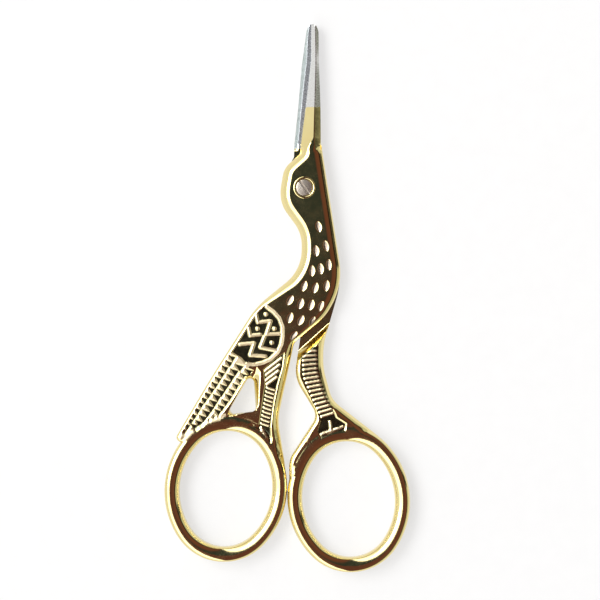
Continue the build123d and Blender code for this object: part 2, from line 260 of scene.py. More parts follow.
def smooth_step(low, high, value):
    """0 below low, 1 above high, and a smooth turn between them."""
    share = np.clip((value - low) / (high - low), 0, 1)
    return share * share * (3 - 2 * share)


def from_pixels(points):
    """Places in the plane of the scissors, in millimetres."""
    table = np.array(points, float)
    return np.stack([(table[:, 0] - pivot_pixel[0]) * pixel, (pivot_pixel[1] - table[:, 1]) * pixel], 1)


def turn(angle):
    """Cosine and sine of an angle in degrees."""
    return math.cos(math.radians(angle)), math.sin(math.radians(angle))


def from_shares(rows):
    """Outline corners in millimetres."""
    return np.array([(row[0] * handle_width, -row[1] * handle_length) for row in rows])


def run_distance(x, y, start, end):
    """Distance to a straight run."""
    across, up = end - start
    length = max(across * across + up * up, 1e-12)
    share = np.clip(((x - start[0]) * across + (y - start[1]) * up) / length, 0, 1)
    return np.hypot(x - start[0] - share * across, y - start[1] - share * up)


def line_distance(x, y, points):
    """Distance to a row of straight runs."""
    return np.min([run_distance(x, y, a, b) for a, b in zip(points[:-1], points[1:])], axis=0)


def is_inside(x, y, loop):
    """True for places inside a closed row of points."""
    order = np.argsort(y)
    sorted_x, sorted_y = x[order], y[order]
    inside = np.zeros(x.shape, bool)
    ends = np.roll(loop, -1, axis=0)
    firsts = np.searchsorted(sorted_y, np.minimum(loop[:, 1], ends[:, 1]))
    lasts = np.searchsorted(sorted_y, np.maximum(loop[:, 1], ends[:, 1]))
    for start, end, first, last in zip(loop, ends, firsts, lasts):
        if first < last:
            lean = (end[0] - start[0]) / (end[1] - start[1])
            cross = start[0] + (sorted_y[first:last] - start[1]) * lean
            inside[first:last] ^= sorted_x[first:last] < cross
    found = np.empty(x.shape, bool)
    found[order] = inside
    return found


def loop_distance(x, y, loop):
    """Distance to a closed row of points, above zero inside it."""
    distance = line_distance(x, y, np.vstack([loop, loop[:1]]))
    return np.where(is_inside(x, y, loop), distance, -distance)


class Outline:
    """Closed outline of straight runs joined by tangent arcs."""

    def __init__(self, corners, cuts):
        self.arcs, samples, starts, ends = [], [], [], []
        count = len(corners)
        for number, corner in enumerate(corners):
            run_in = corner - corners[number - 1]
            run_out = corners[(number + 1) % count] - corner
            run_in = run_in / np.hypot(*run_in)
            run_out = run_out / np.hypot(*run_out)
            starts.append(corner - run_in * cuts[number])
            ends.append(corner + run_out * cuts[number])
            samples.append(starts[-1])
            if cuts[number] > 0:
                bend = run_in[0] * run_out[1] - run_in[1] * run_out[0]
                angle = math.atan2(bend, run_in @ run_out)
                radius = cuts[number] / math.tan(abs(angle) / 2)
                side = math.copysign(1, bend)
                centre = starts[-1] + side * radius * np.array([-run_in[1], run_in[0]])
                self.arcs.append((centre, starts[-1] - centre, ends[-1] - centre, side, radius))
                for share in np.linspace(0, 1, 18)[1:-1]:
                    c, s = math.cos(angle * share), math.sin(angle * share)
                    arm = starts[-1] - centre
                    samples.append(centre + np.array([c * arm[0] - s * arm[1], s * arm[0] + c * arm[1]]))
                samples.append(ends[-1])
        self.runs = [(ends[i], starts[(i + 1) % count]) for i in range(count)]
        self.loop = np.array(samples)

    def distances(self, x, y):
        """Distances to the whole outline and to all of it but its first run, above zero inside it."""
        best = np.full(x.shape, 1e3)
        for start, end in self.runs[1:]:
            best = np.minimum(best, run_distance(x, y, start, end))
        for centre, arm_in, arm_out, side, radius in self.arcs:
            dx, dy = x - centre[0], y - centre[1]
            after = (arm_in[0] * dy - arm_in[1] * dx) * side >= 0
            before = (dx * arm_out[1] - dy * arm_out[0]) * side >= 0
            off = np.abs(np.hypot(dx, dy) - radius)
            best = np.where(after & before, np.minimum(best, off), best)
        whole = np.minimum(best, run_distance(x, y, *self.runs[0]))
        inside = is_inside(x, y, self.loop)
        return np.where(inside, whole, -whole), np.where(inside, best, -best)

    def distance(self, x, y):
        """Distance to the outline, above zero inside it."""
        return self.distances(x, y)[0]


def shares_outline(rows):
    """Outline of a table of shares."""
    corners = from_shares(rows)
    cuts = []
    for number, row in enumerate(rows):
        run_in = np.hypot(*(corners[number] - corners[number - 1]))
        run_out = np.hypot(*(corners[(number + 1) % len(rows)] - corners[number]))
        cuts.append(row[2] * min(run_in, run_out))
    return Outline(corners, cuts)


def tip_outline():
    """Plan of the two blades together with their round tip."""
    left, right = blade_middle - tip_half_width, blade_middle + tip_half_width
    corners = [
        (blade_middle - tip_top_half_width, blade_length),
        (blade_middle + tip_top_half_width, blade_length),
        (right, blade_length - tip_length),
        (right + blade_width, 0.0),
        (left - blade_width, 0.0),
        (left, blade_length - tip_length),
    ]
    return Outline(np.array(corners), [tip_top_cut, tip_top_cut, tip_side_cut, 0, 0, tip_side_cut])


front_outline = shares_outline(front_outline_shares)
back_outline = shares_outline(back_outline_shares)
window_outline = shares_outline(window_shares)
tip = tip_outline()


def ring_place(side):
    """Centre of a finger ring: side is -1 for the left one, 1 for the right one."""
    drop_share = left_ring_drop_share if side < 0 else right_ring_drop_share
    across = rings_middle_share * handle_width + side * (hole_width / 2 + band_width + ring_gap / 2)
    return across, -drop_share * handle_length


def ring_arcs():
    """Half width, end radius, rise and side radius of the band's middle line."""
    half_wide = hole_width / 2 + band_width / 2
    half_high = hole_height / 2 + band_width / 2
    end_radius = half_wide * oval_end_share
    rise = half_high - end_radius
    side_radius = (half_wide ** 2 + rise ** 2 - end_radius ** 2) / (2 * (half_wide - end_radius))
    return half_wide, end_radius, rise, side_radius


def ring_offset(x, y, side):
    """Distance outwards from the middle line of a ring's band."""
    half_wide, end_radius, rise, side_radius = ring_arcs()
    across, up = ring_place(side)
    c, s = turn(side * ring_tilt)
    u = np.abs(c * (x - across) + s * (y - up))
    v = np.abs(c * (y - up) - s * (x - across))
    pull = side_radius - half_wide
    at_end = pull * v - rise * (u + pull) > 0
    return np.where(at_end, np.hypot(u, v - rise) - end_radius, np.hypot(u + pull, v) - side_radius)


ring_line_count = 420


def ring_line(side):
    """Points along the middle line of a ring's band."""
    half_wide, end_radius, rise, _ = ring_arcs()
    across, up = ring_place(side)
    c, s = turn(side * ring_tilt)
    points = []
    for angle in np.linspace(0, 2 * math.pi, ring_line_count, endpoint=False):
        reach = np.array([half_wide, end_radius + rise]) * (math.cos(angle), math.sin(angle))
        for _ in range(4):
            place_x, place_y = across + c * reach[0] - s * reach[1], up + s * reach[0] + c * reach[1]
            off = float(ring_offset(np.array([place_x]), np.array([place_y]), side)[0])
            reach = reach * (1 - off / np.hypot(*reach))
        points.append((place_x, place_y))
    return np.array(points)


def ring_half_height(offset):
    """Half the thickness of a ring's band at a distance from its middle line."""
    radius = band_width / 2
    outside = offset > ring_crest
    share = np.where(outside, (offset - ring_crest) / (radius - ring_crest),
                     (ring_crest - offset) / (radius + ring_crest))
    share = np.clip(share, 0, 1)
    crown = np.where(outside, ring_outer_crown, ring_inner_crown)
    return middle_level - radius + radius * (1 - share ** crown) ** (1 / crown)


def rounding(distance, radius, crown=2.0):
    """Drop of a rounded edge inside an outline: a crown of 1 makes a chamfer, of 2 a quarter circle."""
    share = 1 - np.clip(distance / radius, 0, 1)
    return radius * (1 - np.maximum(1 - share ** crown, 0) ** (1 / crown))


def faces_right(outline, x, y):
    """How far the nearest edge of an outline faces to the right, from 0 to 1."""
    reach = 0.05
    slope = (outline.distance(x + reach, y) - outline.distance(x - reach, y)) / (2 * reach)
    return smooth_step(0.1, 0.8, -slope)


def spine_bevel(y):
    """Width of the bevel along the back blade's spine."""
    return np.interp(y, spine_bevel_heights, spine_bevel_widths)


def blade_parts(rows, x, y):
    """Distance inside a blade's plan, its rise from the inner face, and the drop of its spine's bevel."""
    along = y / blade_length
    stations = [row[0] for row in rows]
    edge, near, far, spine, ridge, land, wall = [
        np.interp(along, stations, [row[k] for row in rows]) for k in range(1, 8)]
    way = 1.0 if rows[0][4] > rows[0][1] else -1.0
    edge, near, far, spine = [way * blade_width * value for value in (edge, near, far, spine)]
    across = way * x
    rise_in = land + (ridge - land) * (across - edge) / np.maximum(near - edge, 1e-6)
    rise_out = ridge + (wall - ridge) * (across - far) / np.maximum(spine - far, 1e-6)
    rise = half_thickness * np.clip(np.where(across < near, rise_in, np.where(across > far, rise_out, ridge)),
                                    np.minimum(land, wall), ridge)
    if way < 0:
        break_drop = spine_bevel_slope * np.clip(spine_bevel(y) - (spine - across), 0, spine_bevel(y))
    else:
        break_drop = spine_break_depth * np.clip(1 - (spine - across) / spine_break, 0, 1)
    plan = np.minimum(across - edge, spine - across)
    plan = np.minimum(plan, tip.distance(x, y))
    plan = np.minimum(plan, y - stations[0] * blade_length)
    return plan, rise, break_drop


def step_distance(x, y, line_shares):
    """Distance past a step line, on its right as seen from above."""
    start, end = from_shares(line_shares)
    along = (end - start) / np.hypot(*(end - start))
    return along[1] * (x - start[0]) - along[0] * (y - start[1])


step_run = math.tan(math.radians(step_slope))
slack = 0.06            # surfaces run past their outlines by this much
far = 1e3               # distance to a window where a half has none
nowhere = 9.0           # height above or below a surface where there is none
handle_start = 0.3      # outside the middle line of a ring's band
relief_start = 0.9


def neck_share(x, y):
    """How far a place belongs to head and neck, from 0 to 1."""
    return smooth_step(*neck_heights, y + neck_lean * x)


def edge_radius(x, y):
    """Radius of the rounded outer edges: wide at head and neck, narrow at wing, tail and legs."""
    return narrow_round + neck_round_gain * neck_share(x, y)


def hollow(distance, width, depth):
    """Drop of a sunk field: distance is above zero inside it, and its bank is rounded over a width."""
    bank = np.clip(-distance / width, 0, 1)
    return depth * (1 - np.sin(bank * math.pi / 2))


def sunk_feathers(x, y):
    """Drop of the feather marks: steep on the left, with a floor that rises to the right."""
    drop = np.zeros(x.shape)
    half_wide, half_long = feather_half_wide_pixels * pixel, feather_half_long_pixels * pixel
    for (middle_x, middle_y), (_, _, lean) in zip(from_pixels(feather_pixels), feather_pixels):
        c, s = turn(lean)
        across = c * (x - middle_x) - s * (y - middle_y)
        along = s * (x - middle_x) + c * (y - middle_y)
        end = 1 - (along / half_long) ** 2
        reach = half_wide * np.maximum(end, 0) ** 0.7 + 1e-9
        share = (across + reach) / (2 * reach)
        inside = (end > 0) & (share > 0) & (share < 1)
        wall = np.minimum(share / feather_wall_share, 1)
        floor = (1 - share) * feather_floor_gain
        shape = feather_depth * np.maximum(end, 0) ** 0.5 * np.minimum(wall, np.minimum(floor, 1))
        drop = np.where(inside, np.maximum(drop, shape), drop)
    return drop


def wing_field(x, y):
    """Distance inside the sunk ground of the wing, distance to its rim, and distance inside the wing."""
    rim = from_pixels(wing_rim_pixels)
    rim_line = line_distance(x, y, rim)
    region = loop_distance(x, y, np.vstack([rim, from_pixels(wing_outside_pixels)]))
    ground = np.minimum(region, rim_line - wing_rim_half_pixels * pixel)
    for points in wing_stroke_pixels:
        stroke = line_distance(x, y, from_pixels(points)) - wing_stroke_half_pixels * pixel
        ground = np.minimum(ground, stroke)
    for centre in from_pixels(wing_dot_pixels):
        dot = np.hypot(x - centre[0], y - centre[1]) - wing_dot_pixels_radius * pixel
        ground = np.minimum(ground, dot)
    return ground, rim_line, region


def tail_field(x, y):
    """Distance inside the sunk marks of the tail."""
    field = np.full(x.shape, -nowhere)
    down, barb = np.array(tail_down), np.array(tail_barb)
    for row, size in zip(tail_row_pixels, tail_row_sizes):
        for centre in from_pixels(row):
            near = (np.abs(x - centre[0]) < 2) & (np.abs(y - centre[1]) < 2)
            if not near.any():
                continue
            reach = size * pixel
            point, base = mark_point_share * reach * barb, mark_base_share * reach * barb
            half_base = mark_base_share * reach * down
            triangle = np.array([centre - point, centre + base - half_base, centre + base + half_base])
            field[near] = np.maximum(field[near], loop_distance(x[near], y[near], triangle))
    for centre in from_pixels(tail_dot_pixels):
        dot = tail_dot_pixels_radius * pixel - np.hypot(x - centre[0], y - centre[1])
        field = np.maximum(field, dot)
    return field


def bars_between(left, right, count):
    """Bars from one line to another, evenly spaced."""
    rows = []
    for line in (left, right):
        points = from_pixels(line)
        lengths = np.concatenate([[0], np.cumsum(np.hypot(*np.diff(points, axis=0).T))])
        spots = np.linspace(0, lengths[-1], count)
        rows.append(np.stack([np.interp(spots, lengths, points[:, k]) for k in (0, 1)], 1))
    return list(zip(*rows))


def leg_field(x, y, region_pixels, strokes, bars, bar_half_pixels):
    """Distance inside the sunk ground of a leg, between its raised bars, and distance inside its region."""
    region = loop_distance(x, y, from_pixels(region_pixels))
    ground = region
    for points in strokes:
        stroke = line_distance(x, y, from_pixels(points)) - leg_stroke_half_pixels * pixel
        ground = np.minimum(ground, stroke)
    for start, end in bars:
        ground = np.minimum(ground, run_distance(x, y, start, end) - bar_half_pixels * pixel)
    return ground, region


def painted_highlight_share(field, region):
    """Where raised metal between the sunk grounds of a region gets a painted highlight."""
    return smooth_step(0.02, -0.10, field) * smooth_step(-0.05, 0.12, region)


def front_relief(x, y, edge_distance, window_gap):
    """Drop of the front half's relief, the painted shade of its sunk ground, and its painted highlight and
    feather-pit shade.
    """
    raised_half_width = raised_half_pixels * pixel
    wing, rim_line, wing_region = wing_field(x, y)
    wing = np.minimum(wing, edge_distance - wing_edge_gap)
    tail = np.minimum.reduce([tail_field(x, y), edge_distance - tail_edge_gap, window_gap - tail_window_gap])
    tail_region = loop_distance(x, y, from_pixels(tail_field_pixels))
    tail_region = np.minimum(tail_region, window_gap - tail_region_window_gap)
    leg, leg_region = leg_field(x, y, left_leg_pixels, left_leg_stroke_pixels,
                                bars_between(*left_leg_bar_pixels, left_leg_bars), left_bar_half_pixels)
    leg = np.minimum.reduce([leg, edge_distance - leg_edge_gap, window_gap - leg_window_gap])
    feathers = sunk_feathers(x, y)
    border = raised_half_width - line_distance(x, y, from_pixels(tail_border_pixels))
    raised = np.maximum(raised_half_width - rim_line, border)
    drop = np.maximum.reduce([
        hollow(wing, ground_bank, ground_depth), hollow(tail, ground_bank, ground_depth),
        hollow(leg, left_leg_bank, left_leg_depth), feathers])
    lift = raised_height * np.sin(np.clip(raised / raised_half_width, 0, 1) * math.pi / 2)
    lift = lift * smooth_step(0.6, 1.0, edge_distance) * smooth_step(0.6, 0.9, window_gap)
    # Painted shade: the sunk grounds are marked to take a near-black colour
    dark = smooth_step(-dark_blur, dark_blur, np.maximum.reduce([wing, tail, leg]))
    # Painted highlight on raised metal, and 2 in the feather pits, where it turns to painted shade
    painted_light = np.maximum.reduce([
        painted_highlight_share(wing, wing_region - 1.2 * pixel), painted_highlight_share(tail, tail_region),
        painted_highlight_share(leg, leg_region), smooth_step(-0.05, 0.1, raised),
        2 * smooth_step(0.02, 0.08, feathers)])
    return drop - lift, dark, painted_light * smooth_step(0.35, 0.8, edge_distance)


def back_relief(x, y, edge_distance):
    """Drop of the relief on the back half's leg, the painted shade of its sunk ground, and the painted
    highlight of its raised bars.
    """
    leg, region = leg_field(x, y, right_leg_pixels, right_leg_stroke_pixels,
                            bars_between(*right_leg_bar_pixels, right_leg_bars), right_bar_half_pixels)
    leg = np.minimum(leg, edge_distance - leg_edge_gap)
    # Painted highlight on the raised bars between the sunk grounds
    painted_light = painted_highlight_share(leg, region) * smooth_step(0.35, 0.7, edge_distance)
    return hollow(leg, right_leg_bank, right_leg_depth), smooth_step(-dark_blur, dark_blur, leg), painted_light


class Half:
    """One half of the scissors, with what its surfaces follow: side is -1 for the front, 1 for the back."""

    def __init__(self, outline, window, side, blade_rows):
        self.outline, self.window = outline, window
        self.side, self.blade_rows = side, blade_rows

    def fields(self, x, y):
        """Distances and heights at places: domain is above zero where the half has metal."""
        outline, rounded = self.outline.distances(x, y)
        window_gap = -self.window.distance(x, y) if self.window else np.full(x.shape, far)
        ring = ring_offset(x, y, self.side)
        plan, rise, break_drop = blade_parts(self.blade_rows, x, y)
        plate = np.minimum(np.minimum(outline, window_gap), ring)
        domain = np.maximum(np.maximum(plate, band_width / 2 - np.abs(ring)), plan)
        return SimpleNamespace(outline=outline, rounded=rounded, window_gap=window_gap, ring=ring,
                               plan=plan, rise=rise, break_drop=break_drop, domain=domain)


front_half = Half(front_outline, window_outline, -1, front_blade_shares)
back_half = Half(back_outline, None, 1, back_blade_shares)


def where_present(here, plate, blade, way):
    """Heights of plate, ring and blade, or nowhere: way is 1 for an upper surface, -1 for a lower one."""
    on_plate = (here.outline > -slack) & (here.window_gap > -slack) & (here.ring > handle_start)
    on_band = np.abs(here.ring) < band_width / 2 + slack
    band = middle_level + way * ring_half_height(here.ring)
    return (np.where(on_plate, plate, -way * nowhere), np.where(on_band, band, -way * nowhere),
            np.where(here.plan > -slack, blade, -way * nowhere))


def run_together(plate, blade, both, share):
    """Plate and blade with one height where both are: the share says how far it is the blade's."""
    plate = np.where(both, plate + (blade - plate) * share, plate)
    return plate, np.where(both, plate, blade)


def ring_groove(ring, y):
    """Depth of the seam between a handle and its ring."""
    share = (ring - ring_groove_place) / ring_groove_width
    return ring_groove_depth * np.exp(-share ** 2) * (y < ring_groove_top)


def front_top(x, y):
    """Height of the front half's upper surface, with its painted shade and its painted highlight and
    feather-pit shade.
    """
    here = front_half.fields(x, y)
    neck, right = neck_share(x, y), faces_right(front_outline, x, y)
    radius = edge_radius(x, y) + right_leg_gain * right * smooth_step(*leg_heights, y)
    left_side = (left_crown - left_crown_neck_loss * neck) * (1 - right)
    crown = left_side + (right_crown + right_crown_neck_gain * neck) * right
    edge_drop = rounding(here.rounded, radius, crown) * (1 - right_neck_flattening * right * neck)
    bevel_inside = np.maximum(loop_distance(x, y, from_pixels(window_bevel_pixels)), 0)
    window_share = np.maximum(here.window_gap, 0) / (np.maximum(here.window_gap, 0) + bevel_inside + 1e-6)
    window_drop = np.where(bevel_inside > 0, window_bevel_depth * rounding(window_share, 1.0, 1.3), 0.0)
    drop = np.maximum(edge_drop, window_drop)
    relief, dark, painted_light = front_relief(x, y, np.abs(here.rounded), here.window_gap)
    painted_light = painted_light * (window_share > 0.97) * (here.ring > relief_start)
    dark = dark * (here.ring > relief_start)
    sunk = np.where(drop > relief + 0.02, drop, np.maximum(drop, 0) * 0.5 + relief)
    plate, band, blade = where_present(here, outer_face - sunk - ring_groove(here.ring, y),
                                       front_inner_face + here.rise, 1)
    plate, blade = run_together(plate, blade, (plate > 0) & (blade > 0), smooth_step(*front_blade_joint, y))
    top = np.maximum.reduce([plate, band, blade])
    from_pivot = np.hypot(x, y)
    rim_share = np.clip(np.abs(from_pivot - bore_radius - rim_width / 2) / (rim_width / 2), 0, 1)
    top = top + rim_height * np.sqrt(1 - rim_share ** 2)
    shown = (plate > 0) & (band < plate + 0.2)
    return np.maximum(top, front_inner_face + 0.05), dark * shown, painted_light * shown


def front_bottom(x, y):
    """Height of the front half's lower surface."""
    here = front_half.fields(x, y)
    past = step_distance(x, y, front_step_shares)
    edge_rise = rounding(here.outline, underside_round)
    edge_rise = np.maximum(edge_rise, rounding(here.window_gap, underside_round))
    ramp = front_inner_face - np.maximum(past, 0) / step_run
    plate = np.clip(np.maximum(deep_face + edge_rise, ramp), deep_face, front_inner_face)
    blade = front_inner_face + here.break_drop * (y > 10)
    plate, band, blade = where_present(here, plate, blade, -1)
    return np.clip(np.minimum(np.minimum(plate, band), blade), 0, front_inner_face + spine_break_depth)


def back_top(x, y):
    """Height of the back half's upper surface, with its painted shade on the leg's ground and spine bevel,
    and its painted highlight.
    """
    here = back_half.fields(x, y)
    past = step_distance(x, y, back_step_shares)
    relief, dark, painted_light = back_relief(x, y, np.abs(here.rounded))
    dark, painted_light = dark * (here.ring > relief_start), painted_light * (here.ring > relief_start)
    right = faces_right(back_outline, x, y)
    right_drop = rounding(here.rounded, right_leg_right_round, right_crown)
    edge_drop = rounding(here.rounded, right_leg_left_round) * (1 - right) + right_drop * right
    raised = outer_face - np.maximum(edge_drop, relief) - ring_groove(here.ring, y)
    ramp = back_inner_face + np.maximum(past, 0) / step_run
    plate = np.where(past > 0, np.maximum(np.minimum(raised, ramp), back_inner_face), back_inner_face)
    blade = back_inner_face - here.break_drop * smooth_step(*back_bevel_joint, y)
    plate, band, blade = where_present(here, plate, blade, 1)
    top = np.maximum.reduce([plate, band, blade])
    top = np.maximum(top, back_inner_face - spine_bevel_depth_limit)
    shown = (past > 1.2) & (band < plate + 0.2)
    # Painted shade: the back blade's spine bevel is darkened by colour
    painted_bevel_shade = bevel_shade_strength * smooth_step(0.0, 0.05, here.break_drop) * (y > 8) * (here.plan > -slack)
    return top, np.maximum(dark * shown, painted_bevel_shade), painted_light * shown


def back_bottom(x, y):
    """Height of the back half's lower surface."""
    here = back_half.fields(x, y)
    plate = rounding(here.rounded, back_round)
    plate, band, blade = where_present(here, plate, back_inner_face - here.rise, -1)
    plate, blade = run_together(plate, blade, (plate < 8) & (blade < 8), smooth_step(*back_blade_joint, y))
    return np.clip(np.minimum(np.minimum(plate, band), blade), 0, back_inner_face - 0.2)


def contours(values, level, origin, step):
    """Closed rows of points where a table of values crosses a level."""
    high = values > level
    spots, links = {}, {}

    def spot(kind, row, column):
        key = (kind, row, column)
        if key not in spots:
            first = values[row, column]
            second = values[row, column + 1] if kind == 0 else values[row + 1, column]
            share = (level - first) / (second - first)
            across, up = (column + share, row) if kind == 0 else (column, row + share)
            spots[key] = (origin[0] + across * step, origin[1] + up * step)
        return key

    # Cells that the line passes through have both high and low corners
    mixed = high[:-1, :-1].astype(int) + high[1:, :-1] + high[:-1, 1:] + high[1:, 1:]
    for row, column in zip(*np.nonzero((mixed > 0) & (mixed < 4))):
        a, b = high[row, column], high[row, column + 1]
        c, d = high[row + 1, column + 1], high[row + 1, column]
        cuts = []
        if a != b:
            cuts.append(spot(0, row, column))
        if b != c:
            cuts.append(spot(1, row, column + 1))
        if c != d:
            cuts.append(spot(0, row + 1, column))
        if d != a:
            cuts.append(spot(1, row, column))
        if len(cuts) == 4:
            middle = (values[row, column] + values[row + 1, column + 1]) / 2 > level
            pairs = [(0, 1), (2, 3)] if middle == (not a) else [(0, 3), (1, 2)]
        else:
            pairs = [(0, 1)]
        for i, j in pairs:
            links.setdefault(cuts[i], []).append(cuts[j])
            links.setdefault(cuts[j], []).append(cuts[i])
    loops, used = [], set()
    for start in links:
        if start in used:
            continue
        loop, here = [start], start
        used.add(start)
        while True:
            following = [key for key in links[here] if key not in used]
            if not following:
                break
            here = following[0]
            used.add(here)
            loop.append(here)
        if len(loop) > 6:
            loops.append(np.array([spots[key] for key in loop]))
    return loops


def resample(loop, spacing):
    """Closed loop with evenly spaced points."""
    closed = np.vstack([loop, loop[:1]])
    lengths = np.concatenate([[0], np.cumsum(np.hypot(*np.diff(closed, axis=0).T))])
    count = max(int(round(lengths[-1] / spacing)), 8)
    spots = np.linspace(0, lengths[-1], count, endpoint=False)
    return np.stack([np.interp(spots, lengths, closed[:, k]) for k in (0, 1)], 1)


def settle(points, field, level):
    """Points moved on to the line where a field has a level."""
    nudge = 0.004
    for _ in range(3):
        x, y = points[:, 0], points[:, 1]
        here = field(x, y)
        slope_x = (field(x + nudge, y) - field(x - nudge, y)) / (2 * nudge)
        slope_y = (field(x, y + nudge) - field(x, y - nudge)) / (2 * nudge)
        steep = np.maximum(slope_x ** 2 + slope_y ** 2, 0.05)
        move = np.clip((level - here) / steep, -0.15, 0.15)
        points = points + np.stack([move * slope_x, move * slope_y], 1)
    return points


def circle(radius, count):
    """Points round the pivot axis."""
    angles = np.linspace(0, 2 * math.pi, count, endpoint=False)
    return np.stack([radius * np.cos(angles), radius * np.sin(angles)], 1)


class Sheet:
    """Triangles of one surface: its points in the plane, and where each given point went."""

    def __init__(self, loops, loose, creases, keep):
        points, edges, total = [], [], 0
        self.rows, self.crease_rows = [], []
        for rows, lines in ((self.rows, loops), (self.crease_rows, creases)):
            for line in lines:
                ids = np.arange(total, total + len(line))
                steps = np.stack([ids, np.roll(ids, -1)], 1)
                edges.append(steps if rows is self.rows else steps[:-1])
                rows.append(ids)
                points.append(line)
                total += len(line)
        points.append(loose)
        plane = np.vstack(points)
        pairs = [tuple(int(v) for v in pair) for pair in np.vstack(edges)]
        found = delaunay_2d_cdt([tuple(p) for p in plane], pairs, [], 0, 1e-7, True)
        self.points = np.array([tuple(v) for v in found[0]])
        went = np.full(len(plane), -1)
        for new, given in enumerate(found[3]):
            for old in given:
                went[old] = new
        faces = np.array([face for face in found[2] if len(face) == 3])
        middle = self.points[faces].mean(axis=1)
        inside = keep(middle[:, 0], middle[:, 1])
        near = np.abs(inside) < 0.3
        kept = inside > 0
        kept[near] = self.between(middle[near], loops)
        self.faces = faces[kept]
        self.rows = [went[ids] for ids in self.rows]
        self.crease_rows = [went[ids] for ids in self.crease_rows]
        corners = self.points[self.faces]
        first, second = corners[:, 1] - corners[:, 0], corners[:, 2] - corners[:, 0]
        turned = first[:, 0] * second[:, 1] - first[:, 1] * second[:, 0] < 0
        self.faces[turned] = self.faces[turned][:, ::-1]

    def between(self, places, loops):
        """True for places inside an odd number of loops."""
        inside = np.zeros(len(places), bool)
        for loop in loops:
            inside ^= is_inside(places[:, 0], places[:, 1], loop)
        return inside


def hex_points(box, spacing):
    """Evenly spread points in a box."""
    xs = np.arange(box[0], box[2], spacing)
    ys = np.arange(box[1], box[3], spacing * math.sqrt(3) / 2)
    grid_x, grid_y = np.meshgrid(xs, ys)
    grid_x[1::2] += spacing / 2
    return np.stack([grid_x.ravel(), grid_y.ravel()], 1)


crease_start = 2.2
ridge_end = 0.35
bevel_end = 0.3
crease_count = 60
crease_shift = 0.02


def blade_creases(rows, way):
    """Ridge lines of a blade's outer face."""
    lines = []
    stations = np.array([row[0] for row in rows]) * blade_length
    for column in (2, 3):
        heights = np.linspace(stations[0] + crease_start, blade_length - ridge_end, crease_count)
        across = np.interp(heights, stations, [row[column] * blade_width for row in rows])
        shift = 0.0 if column == 2 else crease_shift * way
        lines.append(np.stack([across + shift, heights], 1))
    return lines


def break_crease(rows, way, low):
    """Inner border of the small bevel along a blade's spine."""
    stations = np.array([row[0] for row in rows]) * blade_length
    heights = np.linspace(low, blade_length - bevel_end, crease_count)
    spine = np.interp(heights, stations, [row[4] * blade_width for row in rows])
    bevel = spine_bevel(heights) if way < 0 else spine_break
    return np.stack([spine - way * bevel, heights], 1)


# Lines that the meshes follow, as shares of the rounded edges' radius
rounding_levels = [0.012, 0.04, 0.08, 0.14, 0.21, 0.30, 0.40, 0.52, 0.65, 0.80, 0.97]
plain_levels = [0.08, 0.30, 0.65]
search_step = 0.2
line_spacing = 0.18
front_lattice, back_lattice, bottom_lattice = 0.12, 0.16, 0.45
bore_count = 96


